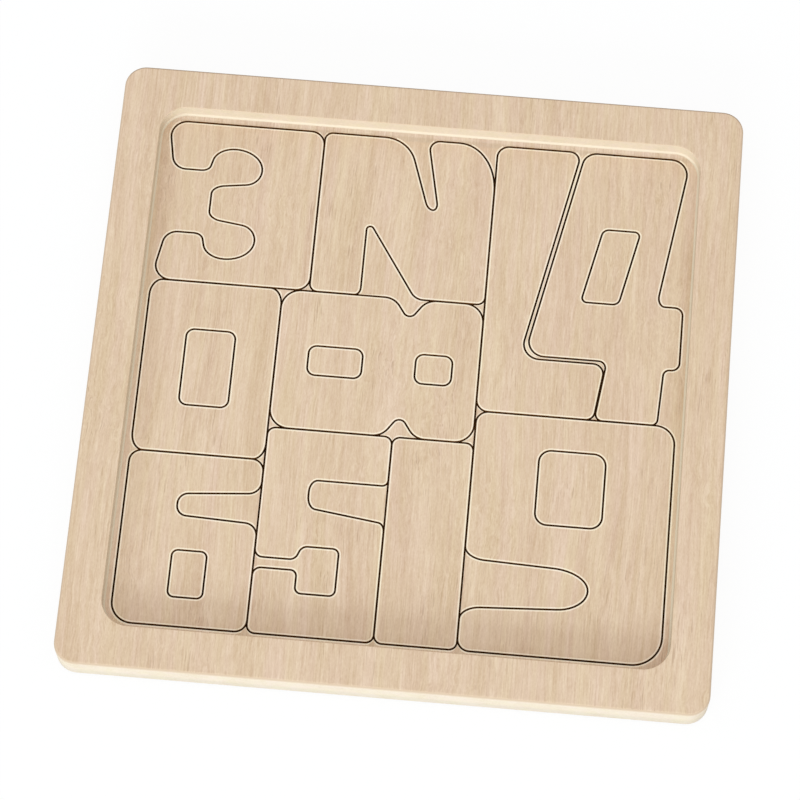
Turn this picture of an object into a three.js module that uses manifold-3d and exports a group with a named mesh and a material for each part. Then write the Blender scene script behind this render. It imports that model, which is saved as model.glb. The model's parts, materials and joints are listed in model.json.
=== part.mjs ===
// Wooden number puzzle: a square routed tray whose floor is cut into ten loose digits.
// Millimetres, +Z up. The origin is in the middle of the underside, and +Y points to the back edge.

import * as THREE from 'three';
import { mergeVertices } from 'three/addons/utils/BufferGeometryUtils.js';
import Module from 'manifold-3d';

const wasm = await Module();
wasm.setup();

// Tray and backing board
const borderWidth = 2.8; // fixed floor between the block of digits and the recess wall
const rimSide = 14.2; // rim to the left and right, from the recess to the outer edge
const rimEnd = 14.6; // rim in front and behind
const recessDepth = 6; // from the rim down to the faces of the digits
const sheetThickness = 4; // the tray's floor, and so the digits
const backingThickness = 2;
const trayCorner = 7.5; // rounding of the outer corners
const recessCorner = 9.5;
const edgeRound = 1; // round-over along the tray's outer edges
const coveRadius = 1; // left by the cutter along the foot of the recess wall
const rebateLip = 7; // underside of the tray left round the backing board
const rebateCorner = 5;
const boardClearance = 0.3; // round the backing board in its rebate
const kerf = 0.6; // width of the cut round every digit

// Room that each digit takes up in the block, measured between the middles of the cuts
const threeWidth = 55.5;
const twoWidth = 61.5;
const sevenFourWidth = 69; // the seven and the four side by side
const eightLead = 9.2; // how far the eight reaches under the three, past the zero and the six
const fiveWidth = 43;
const nineSetback = 0.4; // from the cut left of the seven to the cut left of the nine
const threeHeight = 60.9; // the two beside it is as high
const zeroHeight = 63.4;
const sixHeight = 61.7;
const fiveLead = 12.1; // how far the five reaches up beside the zero, under the eight
const nineLead = 12; // how far the nine reaches up beside the eight, under the seven and the four

// Roundings of the digits' corners, as the distance from the sharp corner to the end of the curve
const tightRound = 2.1;
const smallRound = 2.8;
const mediumRound = 4.2;
const largeRound = 6.8;
const broadRound = 8.5;

// Three: two arms that end in rounded tips, a bar between them and a round bowl above and below it
const threeStroke = 9.4; // top and bottom strokes, over the bowls
const threeArm = 18.4; // height of an arm at its tip
const threeTipWidth = 12.6;
const threeTipInset = 3.2; // how far a tip slants in towards the bar
const threeTipBulge = 0.2; // how far a tip's outer corner stands past the block
const threeBackRound = 5; // the two corners at its back
const threeBowlInset = 2.2; // from the tip's inner side to the bowl
const threeBowlReach = 21; // from the back of the three to the bowls
const threeBarReach = 38; // from the back of the three to the end of the bar
const threeBarHeight = 12.3; // at the end of the bar
const threeBarFlare = 2.3; // how much the bar widens on each side towards the back
const threeBowlFoot = 5; // the bowls' roundings: beside the bar
const threeBowlFlank = 7.5; // along the back
const threeBowlCrown = 10; // along the stroke, from the back
const threeBowlFront = 6.5; // along the stroke, from the tip
const threeBowlSide = 4.8; // along the tip

// Two, lying on its side: a leg, a slot from above and a notch from below
const twoLeg = 17.9;
const twoShoulder = 29.8; // top of the leg, up to the slot
const twoSlotDepth = 26.6;
const twoSlotFloor = 3.6;
const twoSlotInset = 19.2; // from the right side to the slot's floor
const twoProng = 24.7; // top of the right part, from the slot
const twoBase = 24.3; // bottom of the right part, from the notch
const twoNotchHeight = 29.1; // up to the notch's sharp corner
const twoHipAcross = 13.6;
const twoHipDown = 18;

// Seven, upside down: a slanting stem on a foot
const sevenTop = 29.8;
const sevenWaist = 13.5; // stem where it meets the foot
const sevenFoot = 20.8;
const sevenReach = 43.4; // length of the foot along its upper side
const sevenEndSlant = 2.8;

// Four: a slanting body with a bar to the right, a short stem and a slanting counter
const stripAcross = 1.4; // between the cuts of the seven and the four, along the stem
const stripAlong = 1.1; // between the same cuts, over the foot
const stemGap = 0.25; // between the same cuts, beside the foot
const fourTopInset = 0.6;
const fourWaistInset = 9.2;
const fourBarHeight = 23.4;
const fourStemHeight = 20.6;
const fourStemInset = 5.3;
const fourStemTaper = 1.1;
const fourCounterDrop = 28.9; // from the top of the four to its counter
const fourCounterInset = 16.5; // from the right side to the counter's top corner
const fourCounterWidth = 13.1;
const fourCounterHeight = 27.9;
const fourCounterLean = 6.1;

// Zero
const zeroSide = 14.6;
const zeroEnd = 17.7;
const zeroRoundDown = 6;

// Eight, lying on its side: a notch above and below, and a counter to each side of them
const eightWaist = 25.8; // from the right side to the notches
const eightNotchWidth = 11.4;
const eightNotchDepth = 8.2; // down to the notch's sharp corner
const eightNotchRound = 3.4;
const eightCounterHeight = 10.8;
const eightLeftStroke = 11.3;
const eightLeftCounter = 18.8;
const eightRightStroke = 9.4;
const eightRightCounter = 12.7;

// Six: an arm over a tapering slot, and a counter below
const sixArm = 12.3;
const sixSlotMouth = 11;
const sixSlotReach = 28;
const sixSlotEnd = 7.6;
const sixSlotDrop = 2.3; // how much the slot's upper side falls towards its end
const sixCounterWidth = 11.9;
const sixCounterHeight = 16.6;
const sixBase = 10.4;
const sixSide = 16;
const sixSlotRound = 3.4;
const sixHeelRound = 7.3;

// Five: an arm over a slot, and a keyhole with a narrow neck below
const fiveArm = 18;
const fiveSlotReach = 26.7;
const fiveSlotEnd = 10;
const fiveSlotMouth = 13.5;
const fiveBase = 15.2;
const fiveSide = 14.5;
const fiveHoleWidth = 13.6;
const fiveHoleHeight = 16.7;
const fiveNeckBase = 23.3; // from the bottom up to the neck
const fiveNeckHeight = 3.7;
const fiveHoleLean = 0.9; // how far the hole's upper left side leans over the neck

// Nine: a counter over a long slot with a round end
const nineCounterWidth = 22.9;
const nineCounterHeight = 26.8;
const nineCounterInset = 22.7;
const nineCounterDrop = 12.3;
const nineTail = 15.3;
const nineSlotMouth = 17.3;
const nineSlotReach = 42.5;
const nineSlotEnd = 13.4;
const nineSlotRise = 2.35; // how much the slot's lower side rises towards its end
const nineSlotRound = 10; // along the slot's lower side
const nineSlotCrown = 12; // along its upper side
const nineHeelRound = 10.2;

// Fineness of the model
const curveTolerance = 0.02; // furthest that a rounding's flat facets lie from the true curve
const roundSteps = 4; // facets across the tray's round-over and cove
const leastOffcut = 1; // smallest offcut kept, in cubic millimetres
const probeWidth = 0.06; // thin pin that tells which offcut lies at a place
const probeReach = 1; // from a crossing of cuts to a place on the small offcut beside it

// Wood
const trayColour = 0xdfc7ab;
const digitColour = 0xdbc3a7;
const backingColour = 0xe6d6bb;
const woodRoughness = 0.62;

// Cut lines of the block, and the tray around it
const blockWidth = threeWidth + twoWidth + sevenFourWidth;
const blockDepth = threeHeight + zeroHeight + sixHeight;
const blockLeft = -blockWidth / 2;
const blockRight = blockWidth / 2;
const blockBottom = -blockDepth / 2;
const blockTop = blockDepth / 2;
const columnThreeTwo = blockLeft + threeWidth;
const columnTwoSeven = blockRight - sevenFourWidth;
const columnZeroEight = columnThreeTwo - eightLead;
const columnFiveOne = columnZeroEight + fiveWidth;
const columnOneNine = columnTwoSeven + nineSetback;
const rowThreeZero = blockTop - threeHeight;
const rowZeroSix = rowThreeZero - zeroHeight;
const rowEightFive = rowZeroSix + fiveLead;
const rowSevenNine = rowEightFive + nineLead;

const recessWidth = blockWidth + 2 * borderWidth;
const recessBack = blockDepth + 2 * borderWidth;
const trayWidth = recessWidth + 2 * rimSide;
const trayDepth = recessBack + 2 * rimEnd;
const sheetTop = backingThickness + sheetThickness;
const trayHeight = sheetTop + recessDepth;

// A corner of an outline, and how far its rounding reaches along the edges before and after it.
function corner(x, y, before, after = before) {
  return { place: new THREE.Vector2(x, y), before, after };
}

// Closed loop of points through the corners, each rounded as far as its edges allow.
function roundedLoop(corners) {
  const edges = corners.map((here, i) => {
    const next = corners[(i + 1) % corners.length];
    const run = next.place.clone().sub(here.place);
    const fit = Math.min(1, run.length() / (here.after + next.before));
    return { direction: run.normalize(), fit };
  });
  const loop = [];
  corners.forEach((here, i) => {
    const arriving = edges[(i + corners.length - 1) % corners.length];
    const leaving = edges[i];
    const before = here.before * arriving.fit;
    const after = here.after * leaving.fit;
    const turn = Math.acos(THREE.MathUtils.clamp(arriving.direction.dot(leaving.direction), -1, 1));
    const handle = (4 / 3) * Math.tan(turn / 4) / Math.tan(turn / 2);
    const radius = (before + after) / 2 / Math.tan(turn / 2);
    const step = 2 * Math.acos(1 - curveTolerance / Math.max(radius, 2 * curveTolerance));
    const start = here.place.clone().addScaledVector(arriving.direction, -before);
    const end = here.place.clone().addScaledVector(leaving.direction, after);
    const curve = new THREE.CubicBezierCurve(
      start,
      start.clone().addScaledVector(arriving.direction, handle * before),
      end.clone().addScaledVector(leaving.direction, -handle * after),
      end,
    );
    loop.push(...curve.getPoints(Math.ceil(turn / step)));
  });
  return loop.filter((point, i) => point.distanceTo(loop[(i + 1) % loop.length]) > curveTolerance);
}

// The loop moved outwards by the given distance, or inwards if it is negative.
function grownLoop(loop, distance) {
  const side = Math.sign(THREE.ShapeUtils.area(loop));
  return loop.map((point, i) => {
    const before = point.clone().sub(loop[(i + loop.length - 1) % loop.length]).normalize();
    const after = loop[(i + 1) % loop.length].clone().sub(point).normalize();
    const outward = new THREE.Vector2(before.y + after.y, -before.x - after.x);
    return point.clone().addScaledVector(outward, side * distance / (1 + before.dot(after)));
  });
}

function rectangle(left, right, bottom, top, round) {
  return roundedLoop([
    corner(left, top, round),
    corner(right, top, round),
    corner(right, bottom, round),
    corner(left, bottom, round),
  ]);
}

function centredRectangle(width, depth, round) {
  return rectangle(-width / 2, width / 2, -depth / 2, depth / 2, round);
}

// Flat plate between two heights, with straight sides. Loops run clockwise, so a hole's is turned round.
function plate(loop, holes, low, high) {
  const shape = new THREE.Shape(loop);
  shape.holes = holes.map((hole) => new THREE.Path([...hole].reverse()));
  const geometry = new THREE.ExtrudeGeometry(shape, { depth: high - low, bevelEnabled: false });
  return geometry.translate(0, 0, low);
}

// Block between two heights, with its upper and lower edges rounded.
function roundedBlock(loop, low, high, round) {
  const geometry = new THREE.ExtrudeGeometry(new THREE.Shape(loop), {
    depth: high - low - 2 * round,
    bevelThickness: round,
    bevelSize: round,
    bevelOffset: -round,
    bevelSegments: roundSteps,
  });
  return geometry.translate(0, 0, low + round);
}

function toSolid(geometry) {
  const bare = geometry.clone();
  bare.deleteAttribute('normal');
  bare.deleteAttribute('uv');
  const merged = mergeVertices(bare);
  return new wasm.Manifold(new wasm.Mesh({
    numProp: 3,
    vertProperties: merged.attributes.position.array,
    triVerts: Uint32Array.from(merged.index.array),
  }));
}

function toGeometry(solid) {
  const mesh = solid.getMesh();
  const geometry = new THREE.BufferGeometry();
  geometry.setAttribute('position', new THREE.BufferAttribute(mesh.vertProperties, 3));
  geometry.setIndex(new THREE.BufferAttribute(mesh.triVerts, 1));
  geometry.computeVertexNormals();
  return geometry;
}

// The digits. Each outline runs clockwise from the top left, along the middle of the cut.

function three() {
  const [left, right, top] = [blockLeft, columnThreeTwo, blockTop];
  const middle = (blockTop + rowThreeZero) / 2;
  const barEnd = middle + threeBarHeight / 2;
  const tipBottom = top - threeArm;
  const tipOuter = left + threeTipInset;
  const tipInner = tipOuter + threeTipWidth;
  const bowlTop = top - threeStroke;
  const upperHalf = [
    corner(right - threeBarReach, barEnd, smallRound, mediumRound),
    corner(right - threeBowlReach, barEnd + threeBarFlare, threeBowlFoot),
    corner(right - threeBowlReach, bowlTop, threeBowlFlank, threeBowlCrown),
    corner(tipInner + threeBowlInset, bowlTop, threeBowlFront, threeBowlSide),
    corner(tipInner, tipBottom, tightRound, smallRound),
    corner(tipOuter, tipBottom, mediumRound),
    corner(left - threeTipBulge, top, largeRound),
    corner(right, top, threeBackRound),
  ];
  const lowerHalf = upperHalf.map(({ place, before, after }) =>
    corner(place.x, 2 * middle - place.y, after, before)).reverse();
  return { outline: roundedLoop([...upperHalf, ...lowerHalf]), counters: [] };
}

function two() {
  const [left, right, bottom, top] = [columnThreeTwo, columnTwoSeven, rowThreeZero, blockTop];
  const slotFloor = top - twoSlotDepth;
  const slotRight = right - twoSlotInset;
  const outline = roundedLoop([
    corner(left, top, smallRound),
    corner(left + twoShoulder, top, broadRound),
    corner(slotRight - twoSlotFloor, slotFloor, smallRound, twoSlotFloor / 2),
    corner(slotRight, slotFloor, twoSlotFloor / 2, smallRound),
    corner(right - twoProng, top, mediumRound),
    corner(right, top, twoHipAcross, twoHipDown),
    corner(right, bottom, smallRound),
    corner(right - twoBase, bottom, smallRound),
    corner(left + twoLeg, bottom + twoNotchHeight, mediumRound),
    corner(left + twoLeg, bottom, smallRound, tightRound),
    corner(left, bottom, smallRound),
  ]);
  return { outline, counters: [] };
}

function seven() {
  const [left, bottom, top] = [columnTwoSeven, rowSevenNine, blockTop];
  const outline = roundedLoop([
    corner(left, top, mediumRound),
    corner(left + sevenTop, top, mediumRound),
    corner(left + sevenWaist, bottom + sevenFoot, largeRound),
    corner(left + sevenReach, bottom + sevenFoot, mediumRound),
    corner(left + sevenReach - sevenEndSlant, bottom, smallRound),
    corner(left, bottom, mediumRound),
  ]);
  return { outline, counters: [] };
}

function four() {
  const [left, right, bottom, top] = [columnTwoSeven, blockRight, rowSevenNine, blockTop];
  const lean = (sevenTop - sevenWaist) / (top - bottom - sevenFoot);
  const endLean = sevenEndSlant / sevenFoot;
  const ledge = bottom + sevenFoot + stripAlong;
  const stemTop = bottom + fourStemHeight;
  const barTop = stemTop + fourBarHeight;
  const stemLeft = left + sevenReach - sevenEndSlant + stemGap;
  const outline = roundedLoop([
    corner(left + sevenTop + stripAcross, top, mediumRound),
    corner(right - fourTopInset, top, largeRound),
    corner(right - fourWaistInset, barTop, mediumRound, smallRound),
    corner(right, barTop, smallRound),
    corner(right, stemTop, smallRound),
    corner(right - fourStemInset, stemTop, tightRound),
    corner(right - fourStemInset - fourStemTaper, bottom, tightRound),
    corner(stemLeft, bottom, smallRound),
    corner(stemLeft + endLean * (ledge - bottom), ledge, smallRound),
    corner(left + sevenWaist + stripAcross + lean * stripAlong, ledge, largeRound),
  ]);
  const counterTop = top - fourCounterDrop;
  const counterRight = right - fourCounterInset;
  const counterBottom = counterTop - fourCounterHeight;
  const counter = roundedLoop([
    corner(counterRight - fourCounterWidth, counterTop, tightRound),
    corner(counterRight, counterTop, tightRound),
    corner(counterRight - fourCounterLean, counterBottom, tightRound),
    corner(counterRight - fourCounterWidth - fourCounterLean, counterBottom, tightRound),
  ]);
  return { outline, counters: [counter] };
}

function zero() {
  const [left, right, bottom, top] = [blockLeft, columnZeroEight, rowZeroSix, rowThreeZero];
  const outline = roundedLoop([
    corner(left, top, zeroRoundDown, mediumRound),
    corner(right, top, mediumRound, zeroRoundDown),
    corner(right, bottom, zeroRoundDown, mediumRound),
    corner(left, bottom, mediumRound, zeroRoundDown),
  ]);
  const counter = rectangle(left + zeroSide, right - zeroSide, bottom + zeroEnd, top - zeroEnd, smallRound);
  return { outline, counters: [counter] };
}

function eight() {
  const [left, right, bottom, top] = [columnZeroEight, columnTwoSeven, rowEightFive, rowThreeZero];
  const waist = right - eightWaist;
  const half = eightNotchWidth / 2;
  const outline = roundedLoop([
    corner(left, top, largeRound),
    corner(waist - half, top, eightNotchRound),
    corner(waist, top - eightNotchDepth, eightNotchRound),
    corner(waist + half, top, eightNotchRound),
    corner(right, top, largeRound),
    corner(right, bottom, largeRound),
    corner(waist + half, bottom, eightNotchRound),
    corner(waist, bottom + eightNotchDepth, eightNotchRound),
    corner(waist - half, bottom, eightNotchRound),
    corner(left, bottom, largeRound),
  ]);
  const middle = (bottom + top) / 2;
  const low = middle - eightCounterHeight / 2;
  const high = middle + eightCounterHeight / 2;
  const leftStart = left + eightLeftStroke;
  const rightEnd = right - eightRightStroke;
  const counters = [
    rectangle(leftStart, leftStart + eightLeftCounter, low, high, smallRound),
    rectangle(rightEnd - eightRightCounter, rightEnd, low, high, smallRound),
  ];
  return { outline, counters };
}

function six() {
  const [left, right, bottom, top] = [blockLeft, columnZeroEight, blockBottom, rowZeroSix];
  const slotTop = top - sixArm;
  const slotEnd = right - sixSlotReach;
  const outline = roundedLoop([
    corner(left, top, mediumRound),
    corner(right, top, mediumRound),
    corner(right, slotTop, mediumRound),
    corner(slotEnd, slotTop - sixSlotDrop, sixSlotRound),
    corner(slotEnd, slotTop - sixSlotDrop - sixSlotEnd, sixSlotRound),
    corner(right, slotTop - sixSlotMouth, mediumRound),
    corner(right, bottom, mediumRound),
    corner(left, bottom, sixHeelRound),
  ]);
  const counterRight = right - sixSide;
  const counterBottom = bottom + sixBase;
  const counter = rectangle(
    counterRight - sixCounterWidth,
    counterRight,
    counterBottom,
    counterBottom + sixCounterHeight,
    tightRound,
  );
  return { outline, counters: [counter] };
}

function five() {
  const [left, right, bottom, top] = [columnZeroEight, columnFiveOne, blockBottom, rowEightFive];
  const slotTop = top - fiveArm;
  const slotEnd = right - fiveSlotReach;
  const holeRight = right - fiveSide;
  const holeLeft = holeRight - fiveHoleWidth;
  const holeBottom = bottom + fiveBase;
  const holeTop = holeBottom + fiveHoleHeight;
  const neckBottom = bottom + fiveNeckBase;
  const neckTop = neckBottom + fiveNeckHeight;
  const outline = roundedLoop([
    corner(left, top, smallRound),
    corner(right, top, smallRound),
    corner(right, slotTop, tightRound),
    corner(slotEnd, slotTop, smallRound, mediumRound),
    corner(slotEnd, slotTop - fiveSlotEnd, mediumRound, smallRound),
    corner(right, slotTop - fiveSlotMouth, tightRound, smallRound),
    corner(right, bottom, smallRound),
    corner(left, bottom, smallRound),
    corner(left, neckBottom, smallRound),
    corner(holeLeft, neckBottom, tightRound),
    corner(holeLeft, holeBottom, tightRound),
    corner(holeRight, holeBottom, tightRound),
    corner(holeRight, holeTop, tightRound),
    corner(holeLeft + fiveHoleLean, holeTop, tightRound),
    corner(holeLeft - fiveHoleLean, neckTop, tightRound),
    corner(left, neckTop, smallRound),
  ]);
  return { outline, counters: [] };
}

function one() {
  const outline = rectangle(columnFiveOne, columnOneNine, blockBottom, rowEightFive, smallRound);
  return { outline, counters: [] };
}

function nine() {
  const [left, right, bottom, top] = [columnOneNine, blockRight, blockBottom, rowSevenNine];
  const slotBottom = bottom + nineTail;
  const slotEnd = left + nineSlotReach;
  const outline = roundedLoop([
    corner(left, top, mediumRound),
    corner(right, top, largeRound),
    corner(right, bottom, nineHeelRound),
    corner(left, bottom, mediumRound),
    corner(left, slotBottom, mediumRound, largeRound),
    corner(slotEnd, slotBottom + nineSlotRise, nineSlotRound),
    corner(slotEnd, slotBottom + nineSlotRise + nineSlotEnd, nineSlotRound, nineSlotCrown),
    corner(left, slotBottom + nineSlotMouth, largeRound, mediumRound),
  ]);
  const counterLeft = left + nineCounterInset;
  const counterTop = top - nineCounterDrop;
  const counter = rectangle(
    counterLeft,
    counterLeft + nineCounterWidth,
    counterTop - nineCounterHeight,
    counterTop,
    mediumRound,
  );
  return { outline, counters: [counter] };
}

const digits = { zero, one, two, three, four, five, six, seven, eight, nine };

// A digit grown or shrunk all round, its counters the other way.
function digitPlate({ outline, counters }, growth) {
  const holes = counters.map((counter) => grownLoop(counter, -growth));
  return plate(grownLoop(outline, growth), holes, backingThickness, sheetTop);
}

// The tray board before the digits are cut out: recessed from above and rebated below.
function trayBlank() {
  const blockLoop = centredRectangle(trayWidth, trayDepth, trayCorner);
  const block = toSolid(roundedBlock(blockLoop, 0, trayHeight, edgeRound));
  const recessLoop = centredRectangle(recessWidth, recessBack, recessCorner);
  const recess = toSolid(roundedBlock(recessLoop, sheetTop, trayHeight + 2 * coveRadius, coveRadius));
  const rebateLoop = centredRectangle(trayWidth - 2 * rebateLip, trayDepth - 2 * rebateLip, rebateCorner);
  const rebate = toSolid(plate(rebateLoop, [], -backingThickness, backingThickness));
  return block.subtract(recess).subtract(rebate);
}

function backingBoard() {
  const inset = rebateLip + boardClearance;
  const loop = centredRectangle(trayWidth - 2 * inset, trayDepth - 2 * inset, rebateCorner - boardClearance);
  return plate(loop, [], 0, backingThickness);
}

// Where each offcut lies that stays in the floor: its name, and a point on it.
function offcutPlaces() {
  const reach = probeReach;
  const sixSlotY = rowZeroSix - sixArm - sixSlotMouth / 2;
  const fiveSlotY = rowEightFive - fiveArm - fiveSlotEnd / 2;
  const eightMiddle = (rowEightFive + rowThreeZero) / 2;
  const counterX = blockRight - fourCounterInset - (fourCounterWidth + fourCounterLean) / 2;
  return {
    zero_counter_infill: [(blockLeft + columnZeroEight) / 2, (rowZeroSix + rowThreeZero) / 2],
    two_notch_infill: [columnThreeTwo + twoLeg + twoNotchHeight / 8, rowThreeZero + twoNotchHeight / 4],
    four_counter_infill: [counterX, blockTop - fourCounterDrop - fourCounterHeight / 2],
    five_slot_infill: [columnFiveOne - fiveSlotReach / 2, fiveSlotY],
    five_keyhole_infill: [
      columnFiveOne - fiveSide - fiveHoleWidth / 2,
      blockBottom + fiveBase + fiveHoleHeight / 2,
    ],
    six_slot_infill: [columnZeroEight - sixSlotReach / 2, sixSlotY],
    six_counter_infill: [
      columnZeroEight - sixSide - sixCounterWidth / 2,
      blockBottom + sixBase + sixCounterHeight / 2,
    ],
    eight_left_counter_infill: [columnZeroEight + eightLeftStroke + eightLeftCounter / 2, eightMiddle],
    eight_right_counter_infill: [columnTwoSeven - eightRightStroke - eightRightCounter / 2, eightMiddle],
    eight_notch_infill: [columnTwoSeven - eightWaist, rowEightFive + eightNotchDepth / 4],
    nine_counter_infill: [
      columnOneNine + nineCounterInset + nineCounterWidth / 2,
      rowSevenNine - nineCounterDrop - nineCounterHeight / 2,
    ],
    nine_slot_infill: [columnOneNine + nineSlotReach / 2, blockBottom + nineTail + nineSlotMouth / 2],
    three_two_eight_corner: [columnThreeTwo - reach / 2, rowThreeZero + reach],
    three_zero_eight_corner: [columnZeroEight, rowThreeZero - reach],
    two_seven_eight_corner: [columnTwoSeven - reach, rowThreeZero - reach / 2],
    zero_five_eight_corner: [columnZeroEight + reach, rowEightFive + reach],
    zero_six_five_corner: [columnZeroEight - reach, rowZeroSix],
    seven_nine_eight_corner: [columnTwoSeven + reach, rowSevenNine],
    one_nine_eight_corner: [columnTwoSeven - reach, rowEightFive + reach],
    seven_four_nine_corner: [columnTwoSeven + sevenReach - sevenEndSlant + stemGap, rowSevenNine + reach],
  };
}

function holdsPoint(solid, x, y) {
  const pin = new THREE.BoxGeometry(probeWidth, probeWidth, sheetThickness / 2);
  return !solid.intersect(toSolid(pin.translate(x, y, backingThickness + sheetThickness / 2))).isEmpty();
}

function wood(colour) {
  return new THREE.MeshStandardMaterial({ color: colour, roughness: woodRoughness, metalness: 0 });
}

function piece(name, geometry, colour) {
  const mesh = new THREE.Mesh(geometry, wood(colour));
  mesh.name = name;
  return mesh;
}

const puzzle = new THREE.Group();

// The loose digits lie on the backing board, half a cut inside their outlines.
let carved = trayBlank();
for (const [name, draw] of Object.entries(digits)) {
  const shape = draw();
  puzzle.add(piece(`digit_${name}`, digitPlate(shape, -kerf / 2), digitColour));
  carved = carved.subtract(toSolid(digitPlate(shape, kerf / 2)));
}
puzzle.add(piece('backing_board', backingBoard(), backingColour));

// What is left of the carved board: the tray frame, and the offcuts that stay glued in the floor.
const places = Object.entries(offcutPlaces());
let unnamed = 0;
for (const part of carved.decompose()) {
  const { min, max } = part.boundingBox();
  if (max[2] - min[2] > sheetThickness + recessDepth / 2) {
    puzzle.add(piece('tray_frame', toGeometry(part), trayColour));
  } else if (part.volume() > leastOffcut) {
    const found = places.find(([, [x, y]]) => holdsPoint(part, x, y));
    const name = found ? found[0] : `spare_infill_${++unnamed}`;
    puzzle.add(piece(name, toGeometry(part), trayColour));
  }
}

export default puzzle;
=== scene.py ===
# %% [markdown]
# # A wooden number puzzle
# The real object is a square board with a routed recess. The floor of the recess is cut into ten
# digits that lift out, and offcuts that stay. Everything is bare, sanded wood, so the looks rest on
# three things: the grain, the dark line that the cut leaves round every digit, and soft light.
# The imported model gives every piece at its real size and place. This lesson dresses those pieces.

# %% Load the frame
import json
import math

import bmesh
import bpy
from mathutils import Euler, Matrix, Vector
from mathutils.bvhtree import BVHTree
from mathutils.geometry import delaunay_2d_cdt


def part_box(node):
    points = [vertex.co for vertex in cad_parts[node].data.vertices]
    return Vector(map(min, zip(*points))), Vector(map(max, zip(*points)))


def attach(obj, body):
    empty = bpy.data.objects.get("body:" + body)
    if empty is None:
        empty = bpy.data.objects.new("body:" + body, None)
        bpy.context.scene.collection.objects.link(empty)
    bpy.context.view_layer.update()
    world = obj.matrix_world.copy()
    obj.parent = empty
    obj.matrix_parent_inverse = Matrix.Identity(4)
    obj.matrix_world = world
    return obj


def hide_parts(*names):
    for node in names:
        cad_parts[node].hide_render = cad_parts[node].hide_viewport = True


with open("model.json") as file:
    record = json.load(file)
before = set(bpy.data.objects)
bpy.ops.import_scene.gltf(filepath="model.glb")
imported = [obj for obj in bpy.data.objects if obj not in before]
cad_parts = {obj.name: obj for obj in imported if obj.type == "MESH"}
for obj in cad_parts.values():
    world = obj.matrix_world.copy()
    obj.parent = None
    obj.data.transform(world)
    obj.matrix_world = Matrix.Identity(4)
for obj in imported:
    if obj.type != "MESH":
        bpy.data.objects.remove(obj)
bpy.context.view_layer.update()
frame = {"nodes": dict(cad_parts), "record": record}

MM = 0.001

frame_low, frame_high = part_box("tray_frame")
rim_top = frame_high.z
floor_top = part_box("digit_one")[1].z  # the faces of the digits, and of the offcuts round them
board_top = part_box("backing_board")[1].z
print(f"tray {frame_high.x / MM * 2:.0f} mm wide")
print(f"rim at {rim_top / MM:.1f} mm, digits at {floor_top / MM:.1f} mm, board at {board_top / MM:.1f} mm")

# %% [markdown]
# ## The camera
# The picture looks down steeply on the tray from in front, turned a little to the right, through a
# long lens, so its sides hardly draw together. A camera can be placed by eye, but here the four sides
# of the rim fixed it: how far they draw together gives the distance, and so the lens.
# It is set by the point it aims at on the rim, its distance and three angles.

# %% Place the camera
aim = Vector((-2.1 * MM, -7.7 * MM, rim_top))
camera_distance = 1139.4 * MM
camera_tilt = math.radians(19.94)  # away from straight down
camera_roll = math.radians(0.17)
camera_turn = math.radians(5.04)  # to the right, round the tray
camera_lens = 149.4  # in mm, as Blender takes lens and sensor
sensor_width = 36

camera_data = bpy.data.cameras.new("camera")
camera_data.sensor_width = sensor_width
camera_data.lens = camera_lens
camera = bpy.data.objects.new("camera", camera_data)
camera.rotation_euler = Euler((camera_tilt, camera_roll, camera_turn))
camera.location = aim + camera.rotation_euler.to_matrix() @ Vector((0, 0, camera_distance))
bpy.context.scene.collection.objects.link(camera)
bpy.context.scene.camera = camera
print("camera at", [round(x / MM) for x in camera.location], "mm")

# %% [markdown]
# ## Small tools for shader nodes
# A node material can be clicked together in the editor. By code it is a list of nodes and links, which
# soon hides the idea. A few helpers keep it short. They add a node with its settings and inputs, mix two
# colours, run a value through a colour ramp, make a smooth step, add up patterns by weight, and make a
# colour from a picture fit for a shader. An input takes a value or another node's output.

# %% Node helpers
def add(tree, kind, inputs, **settings):
    """A new node with these settings. An input is named or numbered, and is a value or an output."""
    node = tree.nodes.new("ShaderNode" + kind)
    for name, value in settings.items():
        setattr(node, name, value)
    for name, value in inputs.items():
        if isinstance(value, bpy.types.NodeSocket):
            tree.links.new(value, node.inputs[name])
        else:
            node.inputs[name].default_value = value
    return node


def blend(tree, share, first, second, how="MIX"):
    """Two colours mixed by share, as a colour output."""
    inputs = {0: share, 6: first, 7: second}  # the sockets of a Mix node that take colours
    return add(tree, "Mix", inputs, data_type="RGBA", blend_type=how).outputs[2]


def ramp(tree, value, stops):
    """The colour that the value gets between stops of a position and a colour each, as an output."""
    node = add(tree, "ValToRGB", {0: value})
    elements = node.color_ramp.elements
    for element, (position, colour) in zip(elements, (stops[0], stops[-1])):
        element.position = position
        element.color = colour
    for position, colour in stops[1:-1]:
        elements.new(position).color = colour
    return node.outputs["Color"]


def between(tree, value, low, high):
    """0 where value is at most low, 1 where it is at least high, and a smooth step between."""
    limits = {"Value": value, "From Min": low, "From Max": high}
    return add(tree, "MapRange", limits, interpolation_type="SMOOTHSTEP").outputs["Result"]


def weighted(tree, patterns):
    """0.5 plus each pattern's distance from 0.5 times its weight."""
    total = 0.5 - 0.5 * sum(weight for _, weight in patterns)
    for pattern, weight in patterns:
        node = add(tree, "Math", {0: pattern, 1: weight, 2: total}, operation="MULTIPLY_ADD")
        total = node.outputs[0]
    return total


def product(tree, first, second):
    """Two numbers multiplied, as an output."""
    return add(tree, "Math", {0: first, 1: second}, operation="MULTIPLY").outputs[0]


def shade(red, green, blue):
    """A colour as a picture shows it, from 0 to 255, made linear for a shader."""
    return tuple((c / 255 / 12.92) if c < 10 else ((c / 255 + 0.055) / 1.055) ** 2.4
                 for c in (red, green, blue)) + (1,)


print("helpers for nodes, mixing, ramps, steps and weighted patterns")

# %% [markdown]
# ## Table
# The tray lies on plain white, as in a light tent. A white floor under that much light would throw so
# much back that it floods the sides of the tray. So it is white to the camera only, and grey to other
# rays. Most of what the camera sees is emitted, and the rest still takes the shadow of the tray.

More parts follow.
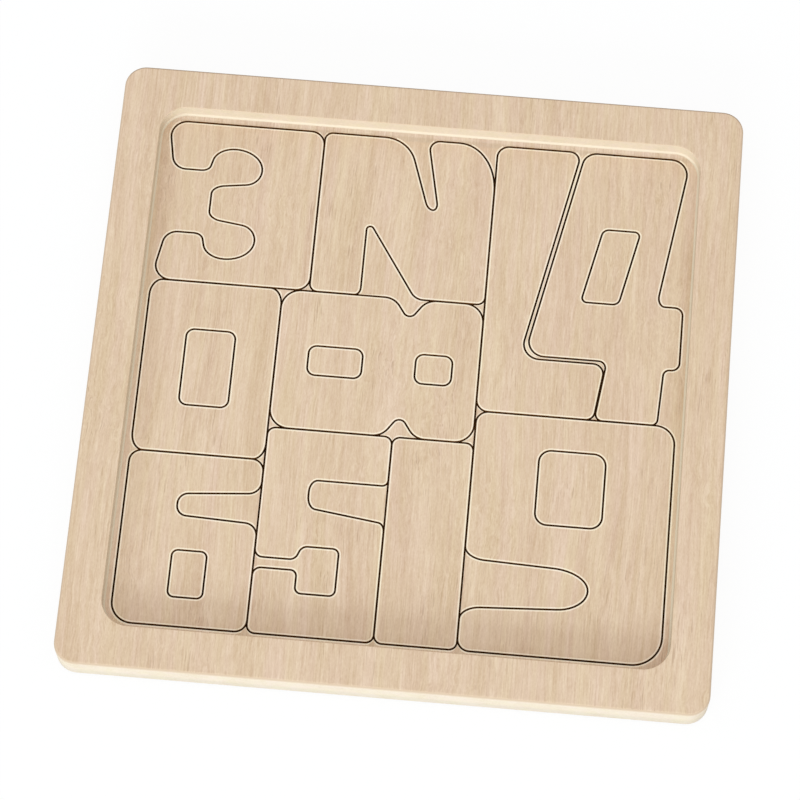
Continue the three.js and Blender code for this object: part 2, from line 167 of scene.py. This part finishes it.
# %% Lay the table
table_size = 4.0
table_gap = 0.1 * MM  # below the tray
table_shine = 0.9  # share of its white that the camera sees whatever the shadow
table_grey = (0.45, 0.45, 0.45, 1)
white = (1, 1, 1, 1)


def seen_by_camera(tree):
    """1 where a ray comes from the camera, or by way of a mirror or glass, and 0 elsewhere."""
    path = tree.nodes.new("ShaderNodeLightPath").outputs
    seen = path["Is Camera Ray"]
    for way in ("Is Glossy Ray", "Is Transmission Ray"):
        seen = add(tree, "Math", {0: seen, 1: path[way]}, operation="MAXIMUM").outputs[0]
    return seen


def white_paper():
    """Paper that glows white to the camera and is grey to other rays."""
    finish = bpy.data.materials.new("white_table")
    finish.use_nodes = True
    tree = finish.node_tree
    tree.nodes.clear()
    seen = seen_by_camera(tree)
    matt = add(tree, "BsdfDiffuse", {"Color": blend(tree, seen, table_grey, white)})
    glow = add(tree, "Emission", {"Color": white})
    share = product(tree, seen, table_shine)
    both = add(tree, "MixShader", {0: share, 1: matt.outputs[0], 2: glow.outputs[0]})
    add(tree, "OutputMaterial", {"Surface": both.outputs[0]})
    return finish


def white_table():
    """A flat sheet just under the tray."""
    bm = bmesh.new()
    bmesh.ops.create_grid(bm, x_segments=1, y_segments=1, size=table_size / 2)
    bmesh.ops.translate(bm, vec=(0, 0, -table_gap), verts=bm.verts)
    mesh = bpy.data.meshes.new("table")
    bm.to_mesh(mesh)
    bm.free()
    mesh.materials.append(white_paper())
    table = bpy.data.objects.new("table", mesh)
    bpy.context.scene.collection.objects.link(table)


white_table()
print(f"table {table_size} m wide")

# %% [markdown]
# ## Light
# An even white sky fills every shadow. A weaker, low lamp stands in front and a little to the left. It is
# why the back wall of the recess and the front side are bright, and why a broad, faint shade lies on the
# digits behind the front wall. A sun would give a hard shadow there, so it is a wide area lamp.
# It is a little cooler than the sky. The shade, which only the sky lights, is then the warmer, as it is
# between walls of wood.

# %% Hang the sky and the lamp
sky_strength = 0.86
lamp_distance = 3.0
lamp_height = math.radians(19)
lamp_side = math.radians(-10)  # to the left of straight in front
lamp_power = 45
lamp_width = 2.2
lamp_depth = 0.75
lamp_colour = (0.87, 1.06, 1.16)


def white_sky():
    """An even world that fills the shadows, and is plain white where the camera sees it."""
    world = bpy.data.worlds.new("white_sky")
    world.use_nodes = True
    tree = world.node_tree
    sky = tree.nodes["Background"]
    sky.inputs["Color"].default_value = white
    levels = {"Value": seen_by_camera(tree), "To Min": sky_strength, "To Max": 1}
    level = add(tree, "MapRange", levels)
    tree.links.new(level.outputs["Result"], sky.inputs["Strength"])
    bpy.context.scene.world = world


def front_lamp():
    """A wide area lamp in front, aimed at the middle of the tray."""
    data = bpy.data.lights.new("front_lamp", "AREA")
    data.shape = "RECTANGLE"
    data.size = lamp_width
    data.size_y = lamp_depth
    data.energy = lamp_power
    data.color = lamp_colour
    lamp = bpy.data.objects.new("front_lamp", data)
    level = math.cos(lamp_height)
    away = Vector((math.sin(lamp_side) * level, -math.cos(lamp_side) * level, math.sin(lamp_height)))
    lamp.location = away * lamp_distance
    lamp.rotation_euler = away.to_track_quat("Z", "Y").to_euler()
    bpy.context.scene.collection.objects.link(lamp)


white_sky()
front_lamp()
bpy.context.scene.view_settings.view_transform = "Standard"
print(f"sky at {sky_strength} and one lamp of {lamp_power} W")

# %% [markdown]
# ## Grain
# A plank's grain is solid: streaks run along the board, and the same streaks show as specks on its ends.
# An image could only cover one face, so each pattern here is a noise in space, stretched along +Y.
# It is read from Object coordinates. Every piece sits at the origin, so the streaks run on across the
# cuts, as in the photograph, where the digits were sawn from the board that they lie in.
# Growth rings come from a slow noise: its contour lines, taken by a sine, are long pointed arches.

# %% Patterns of the grain
ring_count = 7  # arches over the whole range of the slow noise


def stretched(tree, place, across, along):
    """Coordinates in which a feature so wide across the grain and so long along it, in mm, is one unit."""
    scale = (1 / (across * MM), 1 / (along * MM), 1 / (across * MM))
    return add(tree, "Mapping", {"Vector": place, "Scale": scale}).outputs[0]


def fibres(tree, place, across, along, detail=2.0):
    """Soft streaks of that size, from 0 to 1."""
    where = stretched(tree, place, across, along)
    noise = add(tree, "TexNoise", {"Vector": where, "Scale": 1, "Detail": detail, "Roughness": 0.55})
    return noise.outputs["Fac"]


def sideways(tree, place, drift, across, along, share=None):
    """The coordinates with a drift across the grain, in mm, that changes over those lengths."""
    where = stretched(tree, place, across, along)
    noise = add(tree, "TexNoise", {"Vector": where, "Scale": 1, "Detail": 1.5})
    centred = add(tree, "VectorMath", {0: noise.outputs["Color"], 1: (0.5, 0.5, 0.5)}, operation="SUBTRACT")
    reach = (drift * MM, 0, drift * MM)
    step = add(tree, "VectorMath", {0: centred.outputs[0], 1: reach}, operation="MULTIPLY")
    if share is not None:
        step = add(tree, "VectorMath", {0: step.outputs[0], "Scale": share}, operation="SCALE")
    return add(tree, "VectorMath", {0: place, 1: step.outputs[0]}, operation="ADD").outputs[0]


def wandering(tree, place):
    """The coordinates bent so that no streak is quite straight, and curly in some patches."""
    curly = between(tree, fibres(tree, place, across=26, along=40), low=0.48, high=0.68)
    rippled = sideways(tree, place, drift=3, across=5, along=7, share=curly)
    return sideways(tree, rippled, drift=9, across=55, along=120)


def growth_rings(tree, place):
    """Long arches where a slow noise passes through even steps, from 0 to 1."""
    slow = fibres(tree, place, across=34, along=260, detail=0.6)
    wave = add(tree, "Math", {0: product(tree, slow, ring_count * math.tau)}, operation="SINE").outputs[0]
    return add(tree, "MapRange", {"Value": wave, "From Min": -1, "From Max": 1}).outputs["Result"]


print("grain along +Y: streaks, a slow drift and growth rings")

# %% [markdown]
# ## Bare wood
# The rim, the digits and the offcuts show the flat face of the board: pale pinkish tan, with broad paler
# and darker stripes, fine streaks a millimetre or so wide, faint arches and short brown pores. One flat
# colour would look like plastic, and a strong pattern like a dark hardwood, so the contrast is low and
# sits in several sizes of streak at once. Some streaks lean to yellow and some to pink, by a few
# hundredths. A bump from the finest ones breaks up the shine. One function gives every wood of the
# puzzle.

# %% Bare wood in given colours
board_shift = (1096 * MM, 2488 * MM, 424 * MM)  # which stretch of an endless board the tray is cut from
streak_kinds = {  # width across the grain and length along it in mm, detail, and weight
    "stripes": (9, 160, 2, 0.36),
    "streaks": (1.6, 40, 2, 0.42),
    "threads": (0.5, 6, 3, 0.62),
    "lines": (0.5, 34, 1, 0.42),
    "flecks": (0.4, 1.1, 2, 0.45),
}
ring_weight = 0.06
pore_strength = 0.5
yellowish = (0.99, 1.005, 0.948, 1)
pinkish = (1.01, 0.995, 1.045, 1)
wood_gloss = 0.32
smoother = 0.08  # how far the threads take the roughness down and up
rougher = 0.1
thread_height = 0.03 * MM


def grain_tone(tree, place, contrast):
    """How light the grain is, around 0.5, and the pattern of its finest threads."""
    streaks = {}
    shares = []
    for kind, (across, along, detail, weight) in streak_kinds.items():
        streaks[kind] = fibres(tree, place, across, along, detail)
        shares.append((streaks[kind], weight * contrast))
    shares.append((growth_rings(tree, place), ring_weight * contrast))
    return weighted(tree, shares), streaks["threads"]


def pores(tree, place):
    """Short dashes along the grain, in some patches only."""
    patches = between(tree, fibres(tree, place, across=16, along=40), low=0.45, high=0.65)
    dashes = between(tree, fibres(tree, place, across=0.45, along=9, detail=1), low=0.58, high=0.74)
    return product(tree, product(tree, patches, dashes), pore_strength)


def tinted(tree, colour, spot, tints):
    """The colour with these tints laid over it.

    A tint is what it goes by, where it begins and where it is full, its colour, and how it mixes in."""
    spots = add(tree, "SeparateXYZ", {0: spot}).outputs
    normal = tree.nodes.new("ShaderNodeNewGeometry").outputs["Normal"]
    facing = add(tree, "SeparateXYZ", {0: normal}).outputs
    measures = {
        "height": spots["Z"],
        "depth": spots["Y"],
        "facing back": facing["Y"],
        "facing up and back": product(tree, facing["Y"], facing["Z"]),
    }
    for measure, start, full, tint, how in tints:
        colour = blend(tree, between(tree, measures[measure], start, full), colour, tint, how)
    return colour


def wood(name, pale, mean, deep, pore, roughness, contrast=1.0, turned=0.0, tints=()):
    """Bare wood in these colours, with its grain turned by that angle away from +Y."""
    finish = bpy.data.materials.new(name)
    finish.use_nodes = True
    tree = finish.node_tree
    shader = tree.nodes["Principled BSDF"]
    spot = tree.nodes.new("ShaderNodeTexCoord").outputs["Object"]
    cut_from = {"Vector": spot, "Rotation": (0, 0, turned), "Location": board_shift}
    place = wandering(tree, add(tree, "Mapping", cut_from).outputs[0])
    tone, threads = grain_tone(tree, place, contrast)
    colour = ramp(tree, tone, [(0.22, deep), (0.5, mean), (0.74, pale)])
    colour = blend(tree, pores(tree, place), colour, pore)
    warmth = between(tree, fibres(tree, place, across=4, along=60, detail=3), low=0.2, high=0.8)
    colour = blend(tree, 1, colour, blend(tree, warmth, yellowish, pinkish), how="MULTIPLY")
    if tints:
        colour = tinted(tree, colour, spot, tints)
    tree.links.new(colour, shader.inputs["Base Color"])
    limits = {"Value": threads, "To Min": roughness - smoother, "To Max": roughness + rougher}
    tree.links.new(add(tree, "MapRange", limits).outputs["Result"], shader.inputs["Roughness"])
    shader.inputs["Specular IOR Level"].default_value = wood_gloss
    bump = add(tree, "Bump", {"Height": threads, "Distance": thread_height, "Strength": 0.5})
    tree.links.new(bump.outputs["Normal"], shader.inputs["Normal"])
    return finish


print("bare wood from", len(streak_kinds), "sizes of streak")

# %% [markdown]
# ## Sanded faces
# The rim, the digits and the offcuts share one finish. The strip of floor between the digits and the
# back wall lies in the same board, but it is painted a little darker beside the digits, painted shade,
# and paler at the foot of the bright wall, painted light. A second piece of wood could be matched to it.
# Two tints by depth on the same colours do it here, and the grain runs on.

# %% Finishes of the sanded faces
board_colours = {
    "pale": shade(235, 211, 184),
    "mean": shade(223, 196, 167),
    "deep": shade(207, 176, 144),
    "pore": shade(178, 145, 115),
    "roughness": 0.62,
    "contrast": 0.92,
}
digits_back = max(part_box(node)[1].y for node in frame["nodes"] if node.startswith("digit_"))

sanded_face = wood("sanded_face", **board_colours)
floor_painted_light = wood(
    "floor_painted_light",
    **board_colours,
    tints=[
        # painted shade on the strip beside the digits, then painted light at the foot of the back wall
        ("depth", digits_back - 1.2 * MM, digits_back, (0.91, 0.94, 0.98, 1), "MULTIPLY"),
        ("depth", digits_back + 0.7 * MM, digits_back + 1.6 * MM, (1.1, 1.115, 1.18, 1), "MULTIPLY"),
    ],
)
print("sanded face, mean colour", [round(c, 3) for c in board_colours["mean"][:3]])

# %% [markdown]
# ## Routed walls and sides
# The cutter leaves the wall of the recess and the outer sides a touch paler and creamier than the face,
# with less contrast. The back wall is palest, and the others are painted a shade darker, painted shade
# for a light from the front, and the cove at the foot is painted paler, a painted highlight. The rounded
# crest of the outer sides is darker again, painted shade, most on the far side, and so is their lower
# half, painted shade towards the table. Each of these could be a finish of its own with a hard edge
# between, but tints by height and by the way the wood faces run softly into each other.

# %% Finishes of walls and sides
routed_wall = wood(
    "routed_wall",
    pale=shade(234, 215, 191),
    mean=shade(227, 208, 184),
    deep=shade(217, 198, 172),
    pore=shade(206, 185, 159),
    roughness=0.66,
    contrast=0.6,
    tints=[
        # the cove at the foot, paler: a painted highlight
        ("height", floor_top + 1.2 * MM, floor_top + 0.4 * MM, shade(238, 221, 197), "MIX"),
        # painted shade: all but the back wall, and then the front wall, darker away from the front light
        ("facing back", -0.75, -0.2, (0.835, 0.847, 0.82, 1), "MULTIPLY"),
        ("facing back", 0.1, 0.6, (0.8, 0.78, 0.77, 1), "MULTIPLY"),
        # the edge of the rim
        ("height", rim_top - 0.4 * MM, rim_top - 0.1 * MM, shade(222, 196, 167), "MIX"),
    ],
)
outer_side = wood(
    "outer_side",
    pale=shade(249, 231, 209),
    mean=shade(244, 225, 202),
    deep=shade(234, 210, 182),
    pore=shade(217, 190, 160),
    roughness=0.6,
    contrast=0.8,
    tints=[
        # the crest, darker as painted shade, and where it runs into the sanded rim
        ("height", rim_top - 1.1 * MM, rim_top - 0.15 * MM, shade(212, 185, 157), "MIX"),
        ("height", rim_top - 0.2 * MM, rim_top - 0.04 * MM, shade(221, 195, 166), "MIX"),
        # painted shade on the crest of the far side, which faces away from the light
        ("facing up and back", 0.15, 0.4, (0.66, 0.64, 0.62, 1), "MULTIPLY"),
        # the lower half, darker towards the table as painted shade, and the lower edge
        ("height", frame_low.z + 7 * MM, frame_low.z + 3 * MM, (0.905, 0.915, 0.92, 1), "MULTIPLY"),
        ("height", frame_low.z + 1.1 * MM, frame_low.z + 0.15 * MM, shade(226, 197, 167), "MIX"),
    ],
)
print("routed wall and outer side")

# %% [markdown]
# ## Highlit edges and plywood
# The edges of the digits are rubbed down a little and painted paler, a painted highlight where the edge
# catches the light: seen from above it is the thin bright line on both sides of each cut. The backing is
# thin plywood, whose grain lies across the tray's. Both are the same wood function in other colours.

# %% Finishes of the highlit edges and the backing
# paler wood along each cut: a painted highlight
painted_highlight_edge = wood(
    "painted_highlight_edge",
    pale=shade(254, 239, 215),
    mean=shade(250, 233, 208),
    deep=shade(242, 222, 195),
    pore=shade(232, 210, 182),
    roughness=0.6,
)
backing_ply = wood(
    "backing_ply",
    pale=shade(233, 216, 188),
    mean=shade(222, 202, 172),
    deep=shade(206, 183, 152),
    pore=shade(186, 160, 128),
    roughness=0.7,
    turned=math.pi / 2,
)
print("eased edge and backing plywood")

# %% [markdown]
# ## The scorched cut
# A hot cut leaves its walls brown to black, with faint upright stripes where the beam paused. From above
# that is the dark outline of each digit, and on a lifted digit it is the whole side.
# The stripes are a noise stretched along Z, and a second one makes some stretches darker than others.

# %% Finish of the cut
stripe_width = 0.5 * MM
stripe_height = 9 * MM
pause_length = 14 * MM
stripe_depth = 0.05 * MM
burnt_dark = shade(104, 67, 33)
burnt_light = shade(163, 114, 63)


def scorched():
    """Burnt brown with upright stripes."""
    finish = bpy.data.materials.new("scorched_cut")
    finish.use_nodes = True
    tree = finish.node_tree
    shader = tree.nodes["Principled BSDF"]
    spot = tree.nodes.new("ShaderNodeTexCoord").outputs["Object"]
    upright = (1 / stripe_width, 1 / stripe_width, 1 / stripe_height)
    where = add(tree, "Mapping", {"Vector": spot, "Scale": upright}).outputs[0]
    stripes = add(tree, "TexNoise", {"Vector": where, "Scale": 1, "Detail": 3}).outputs["Fac"]
    pauses = add(tree, "TexNoise", {"Vector": spot, "Scale": 1 / pause_length, "Detail": 2}).outputs["Fac"]
    tone = weighted(tree, [(stripes, 1.2), (pauses, 0.8)])
    colour = ramp(tree, tone, [(0.25, burnt_dark), (0.75, burnt_light)])
    tree.links.new(colour, shader.inputs["Base Color"])
    shader.inputs["Roughness"].default_value = 0.8
    shader.inputs["Specular IOR Level"].default_value = 0
    bump = add(tree, "Bump", {"Height": stripes, "Distance": stripe_depth, "Strength": 0.6})
    tree.links.new(bump.outputs["Normal"], shader.inputs["Normal"])
    return finish


scorched_cut = scorched()
print(f"scorched cut, stripes {stripe_width / MM} mm wide")

# %% [markdown]
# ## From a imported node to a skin
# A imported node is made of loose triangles. It could be dressed as it is, but an inset or a bevel needs
# whole faces. So a copy is merged into one skin, and its flat faces are joined: only the real edges are
# left.

# %% Copy a node
weld = 0.001 * MM
flat_angle = math.radians(0.4)
near = 0.05 * MM  # heights closer than this are the same
upward = 0.7  # least upward part of the normal of a level face
steep = 0.3  # most upward part of the normal of a wall


def merged_copy(node):
    """The node's shape as one closed skin with its flat faces joined."""
    bm = bmesh.new()
    bm.from_mesh(frame["nodes"][node].data)
    bmesh.ops.remove_doubles(bm, verts=bm.verts, dist=weld)
    bmesh.ops.dissolve_limit(bm, angle_limit=flat_angle, verts=bm.verts, edges=bm.edges)
    return bm


def is_top(face, height):
    """Whether the face lies level at that height and looks up."""
    level = abs(face.calc_center_median().z - height) < near
    return face.normal.z > upward and level


print(f"flat faces are joined within {math.degrees(flat_angle):.1f} degrees")

# %% [markdown]
# ## Bands along the cuts
# Along each cut the face has two bands: a hair of scorched edge, then a band rubbed down by a hundredth
# or two of a millimetre and painted paler, a painted highlight. A bevel would turn from the light and
# thicken the dark line, so both bands are inset into the face. An inset of one width crosses itself where
# a piece is narrow. So it starts as a hair, each point is then moved as far as there is room, and points
# are drawn back where bands still cross.

# %% Inset a band
hair = 0.01 * MM
pointed = 2.5  # a corner that stretches a band more than this is a point, where the band ends
room_unseen = 9  # widths across the piece, where no wall is found
tangle_reach = 3  # widths round a crossing
untangling_rounds = 20
probe_drop = Vector((0, 0, MM))  # room is measured this far below the face
whole_net = 0  # Blender's number for a net that covers everything between the edges
same_spot = 1e-9


def net(bm, edges):
    """A flat net of triangles that keeps these edges: the edges' ends, its spots, triangles and origins."""
    bm.verts.index_update()
    ends = sorted({vert for edge in edges for vert in edge.verts}, key=lambda vert: vert.index)
    number = {vert: i for i, vert in enumerate(ends)}
    links = [[number[vert] for vert in edge.verts] for edge in edges]
    places = [vert.co.xy for vert in ends]
    spots, _, triangles, origins, _, _ = delaunay_2d_cdt(places, links, [], whole_net, same_spot)
    return ends, spots, triangles, origins


def untangle(bm, edges, pairs, reach):
    """Draw the inner points back to the outer ones, near each place where these edges cross or touch."""
    for _ in range(untangling_rounds):
        _, spots, _, origins = net(bm, edges)
        tangles = [spot for spot, old in zip(spots, origins) if len(old) != 1]
        if not tangles:
            break
        for outer, inner in pairs:
            if any((inner.co.xy - spot).length < reach for spot in tangles):
                inner.co = inner.co.lerp(outer.co, 0.5)


def inset_tops(bm, tops, beside, width, drop, share):
    """A band along the outline of the level faces, sloping down to the faces beside them.

    The band is width wide, or less where the piece is narrow: at most that share of the way across."""
    across = BVHTree.FromBMesh(bm)
    made = bmesh.ops.inset_region(bm, faces=tops, thickness=hair, depth=0, use_even_offset=True)["faces"]
    band = set()
    outline = set()
    for face in made:
        for edge in face.edges:
            if any(other in beside for other in edge.link_faces):
                band.add(face)
                outline.update(edge.verts)
    pairs = []
    for vert in outline:
        for edge in vert.link_edges:
            inner = edge.other_vert(vert)
            if inner in outline or not any(face in band for face in edge.link_faces):
                continue
            pairs.append((vert, inner))
            step = inner.co - vert.co
            stretch = step.length / hair  # 1 on a straight side, more at a corner
            if stretch > pointed:
                continue
            inwards = step.normalized()
            start = vert.co + inwards * hair - probe_drop
            room = across.ray_cast(start, inwards)[3] or width * room_unseen
            inner.co = vert.co + inwards * min(width * stretch, room * share)
    bm.edges.index_update()
    sides = sorted({edge for face in band for edge in face.edges}, key=lambda edge: edge.index)
    untangle(bm, sides, pairs, width * tangle_reach)
    for vert in outline:
        vert.co.z -= drop
    bm.normal_update()
    return band


print(f"bands start {hair / MM} mm wide and then take their room")

# %% [markdown]
# ## The face inside the bands
# The level face inside the bands often has holes. One polygon can't have any, so Blender keeps the face
# as several, with seams between them, and a band that moves can push a point across a seam. So the face
# is made anew without seams: a net of triangles over its outline, of which only those inside are kept. A
# spot is inside if a line from it to one side crosses the outline an odd number of times.

# %% Fill the face and paint a highlight along its edge
burnt_share = 0.15  # most of the way across a narrow piece
# the band after the scorched edge, rubbed down a little and painted paler as a highlight
highlight_share = 0.45
highlight_width = 0.5 * MM
highlight_drop = 0.015 * MM


def encloses(rim, spot):
    """Whether the closed loops of these edges go round the spot, seen from above."""
    odd = False
    for edge in rim:
        one, two = edge.verts[0].co, edge.verts[1].co
        if (one.y > spot.y) != (two.y > spot.y):
            odd ^= spot.x < one.x + (spot.y - one.y) * (two.x - one.x) / (two.y - one.y)
    return odd


def middle_of(spots, corners):
    """The middle of a triangle of the net."""
    return sum((spots[i] for i in corners), Vector((0, 0))) / 3


def refill(bm, tops):
    """Level faces made anew inside their outline, as triangles that leave every hole open."""
    faces = set(tops)
    rim = [edge for edge in bm.edges if sum(face in faces for face in edge.link_faces) == 1]
    ends, spots, triangles, origins = net(bm, rim)
    bmesh.ops.delete(bm, geom=tops, context="FACES")
    for corners in triangles:
        if encloses(rim, middle_of(spots, corners)):
            bm.faces.new([ends[origins[i][0]] for i in corners])
    bm.normal_update()


def scorched_and_highlit_edge(bm, height, burnt_width):
    """Along each cut at that height: a scorched edge of that width, then a rubbed-down band painted paler
    as a highlight.
    """
    upright = [face for face in bm.faces if abs(face.normal.z) < steep]
    walls = {face for face in upright if face.calc_center_median().z < height}
    tops = [face for face in bm.faces if is_top(face, height)]
    burnt = inset_tops(bm, tops, walls, burnt_width, burnt_width, burnt_share)
    highlit_band = inset_tops(bm, tops, burnt, highlight_width, highlight_drop, highlight_share)
    refill(bm, tops)
    return burnt, highlit_band


# the band along each cut is a painted highlight
print(f"worn edges, rubbed {highlight_width / MM} mm wide")

# %% [markdown]
# ## Dressing
# Each finished skin becomes a piece that stands for its node. Shading it smooth all over would round off
# the flat faces, and flat shading would show every facet of a curve. So edges sharper than a limit stay
# hard, and normals weighted by area keep the big faces flat. The record names each node's material slot
# and its body.

# %% Make a piece from a skin
sharp_angle = math.radians(42)
slots = {row["node"]: row["material_slot"] for row in frame["record"]["subparts"]}
bodies = frame["record"]["behaviour"]["bodies"]
node_body = {node: body for body, nodes in bodies.items() for node in nodes}


def dressed(name, node, bm, finishes, finish_of):
    """A piece that replaces the node, each face of the skin with the finish that finish_of gives it."""
    for face in bm.faces:
        face.smooth = True
        face.material_index = finishes.index(finish_of(face))
    for edge in bm.edges:
        edge.smooth = edge.is_manifold and edge.calc_face_angle() < sharp_angle
    by_place = sorted(bm.faces, key=lambda face: tuple(face.calc_center_median()))
    rank = {face: i for i, face in enumerate(by_place)}
    bm.faces.sort(key=rank.get)  # the same order in every run
    mesh = bpy.data.meshes.new(name)
    bm.to_mesh(mesh)
    bm.free()
    for finish in finishes:
        mesh.materials.append(finish)
    piece = bpy.data.objects.new(name, mesh)
    bpy.context.scene.collection.objects.link(piece)
    normals = piece.modifiers.new("flat_faces", "WEIGHTED_NORMAL")
    normals.keep_sharp = True
    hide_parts(node)
    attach(piece, node_body[node])
    return piece


# %% [markdown]
# ## Digits
# Each digit is a flat plate with straight scorched sides and a painted highlight along its upper edge,
# all round its outline and round each counter. The line between two digits is a little heavier than the
# one round a counter or along the tray, so the scorched edge is broader on the digits than on what stays.
# One function could be written for each digit, but they differ in outline only, so one makes all ten.
# Each rides on its own body and lifts by itself.

# %% Make the digits
digit_burn = 0.072 * MM
floor_burn = 0.02 * MM  # on the offcuts and the tray
plate_finishes = [sanded_face, scorched_cut, painted_highlight_edge]


def flat_plate(node, burnt_width):
    """A digit or an offcut: sanded above and below, scorched round the sides, a painted highlight along its
    upper edge.
    """
    bm = merged_copy(node)
    burnt, highlit_band = scorched_and_highlit_edge(bm, floor_top, burnt_width)

    def finish_of(face):
        if face in highlit_band:
            return painted_highlight_edge
        return scorched_cut if face in burnt or abs(face.normal.z) < upward else sanded_face

    return dressed(node + "_wood", node, bm, plate_finishes, finish_of)


digits = [flat_plate(node, digit_burn) for node in sorted(slots) if node.startswith("digit_")]
print(len(digits), "digits with", sum(len(digit.data.polygons) for digit in digits), "faces")

# %% [markdown]
# ## Offcuts
# What is left inside and between the digits is glued down: the middles of the 0, 4, 6, 8 and 9, the
# slots, and the small three-sided corners. They are made as the digits are. The corners end in thin
# points, where the highlight band narrows to nothing.

# %% Make the offcuts
infills = [flat_plate(node, floor_burn) for node in sorted(slots) if node.endswith("_infill")]
corner_pieces = [flat_plate(node, floor_burn) for node in sorted(slots) if node.endswith("_corner")]
print(len(infills), "infill pieces and", len(corner_pieces), "corners")

# %% [markdown]
# ## Tray
# The tray is one board: rim, recess wall with its cove, the strip of floor round the digits, and the
# tongues of floor that reach between them. The finish of a face follows from where it lies: the walls of
# the cut are scorched, those of the recess routed. The inner edge of the rim is eased by a fifth of a
# millimetre. Here a true bevel is right, because the edge lies open to the light.

# %% Make the tray
rim_ease = 0.2 * MM
recess_reach = 98 * MM  # the recess ends inside this, on all four sides


def top_edges(bm, height):
    """The edges where a level face at that height meets a wall."""
    return [
        edge for edge in bm.edges
        if sum(is_top(face, height) for face in edge.link_faces) == 1
    ]


def in_recess(spot):
    """Whether the spot lies inside the inner edge of the rim, seen from above."""
    return max(abs(spot.x), abs(spot.y)) < recess_reach


def ease(bm, edges, width):
    """Round these edges over, and give back the narrow new faces."""
    eased = bmesh.ops.bevel(
        bm,
        geom=edges,
        offset=width,
        offset_type="OFFSET",
        affect="EDGES",
        segments=3,
        profile=0.5,
        material=-1,
        clamp_overlap=True,
    )
    return set(eased["faces"])


def tray():
    """The tray frame with sanded, routed, outer and scorched faces."""
    bm = merged_copy("tray_frame")
    inner_rim = [edge for edge in top_edges(bm, rim_top) if in_recess(edge.verts[0].co)]
    soft = ease(bm, inner_rim, rim_ease)
    burnt, highlit_band = scorched_and_highlit_edge(bm, floor_top, floor_burn)

    def finish_of(face):
        middle = face.calc_center_median()
        # the band along a cut is a painted highlight, except behind the digits, where the strip's painted
        # shade and light go on
        if face in highlit_band and middle.y < digits_back:
            return painted_highlight_edge
        if face in burnt:
            return scorched_cut
        if face in highlit_band or is_top(face, floor_top):
            return floor_painted_light
        if is_top(face, rim_top) or face.normal.z < -upward:
            return sanded_face
        if face in soft or (in_recess(middle) and middle.z > floor_top):
            return routed_wall
        return scorched_cut if in_recess(middle) else outer_side

    finishes = [sanded_face, floor_painted_light, routed_wall, outer_side, scorched_cut, painted_highlight_edge]
    return dressed("tray_wood", "tray_frame", bm, finishes, finish_of)


tray_piece = tray()
print("tray with", len(tray_piece.data.polygons), "faces")

# %% [markdown]
# ## Backing board
# A thin plywood sheet closes the tray from below and carries the digits. Its grain runs the other way.
# It shows on the underside, wherever a digit is lifted, and at the bottom of each cut, where the hot
# beam has marked it brown. A texture could paint the marks, but only the pieces know where the cuts run.
# So the upper face is divided along the outlines of all that stands on it. What lies inside an odd
# number of them is open.

# %% Make the backing board
def draw_outlines(bm, node):
    """Loose edges on the board, where the walls of the node rise from it."""
    shape = merged_copy(node)
    shape.verts.index_update()
    copies = {}
    drawn = []
    for edge in shape.edges:
        on_board = all(abs(vert.co.z - board_top) < near for vert in edge.verts)
        if on_board and any(face.calc_center_median().z > board_top + near for face in edge.link_faces):
            for vert in edge.verts:
                if vert.index not in copies:
                    copies[vert.index] = bm.verts.new(vert.co)
            drawn.append(bm.edges.new([copies[vert.index] for vert in edge.verts]))
    shape.free()
    return drawn


def beam_marks(bm):
    """Divide the board's upper face along the cuts, and give back the faces that lie open below them."""
    bm.normal_update()
    top = next(face for face in bm.faces if is_top(face, board_top))
    sides = list(top.edges)
    cuts = []
    for node in sorted(slots):
        if node != "backing_board":
            cuts.extend(draw_outlines(bm, node))
    ends, spots, triangles, origins = net(bm, sides + cuts)
    bmesh.ops.delete(bm, geom=[top], context="FACES")
    marks = set()
    for corners in triangles:
        face = bm.faces.new([ends[origins[i][0]] for i in corners])
        if encloses(cuts, middle_of(spots, corners)):
            marks.add(face)
    bm.normal_update()
    return marks


def backing():
    """The sheet under the digits and the offcuts, marked along the cuts."""
    bm = merged_copy("backing_board")
    marks = beam_marks(bm)

    def finish_of(face):
        return scorched_cut if face in marks else backing_ply

    return dressed("backing_ply", "backing_board", bm, [backing_ply, scorched_cut], finish_of)


backing_piece = backing()
print("backing board with", len(backing_piece.data.polygons), "faces")
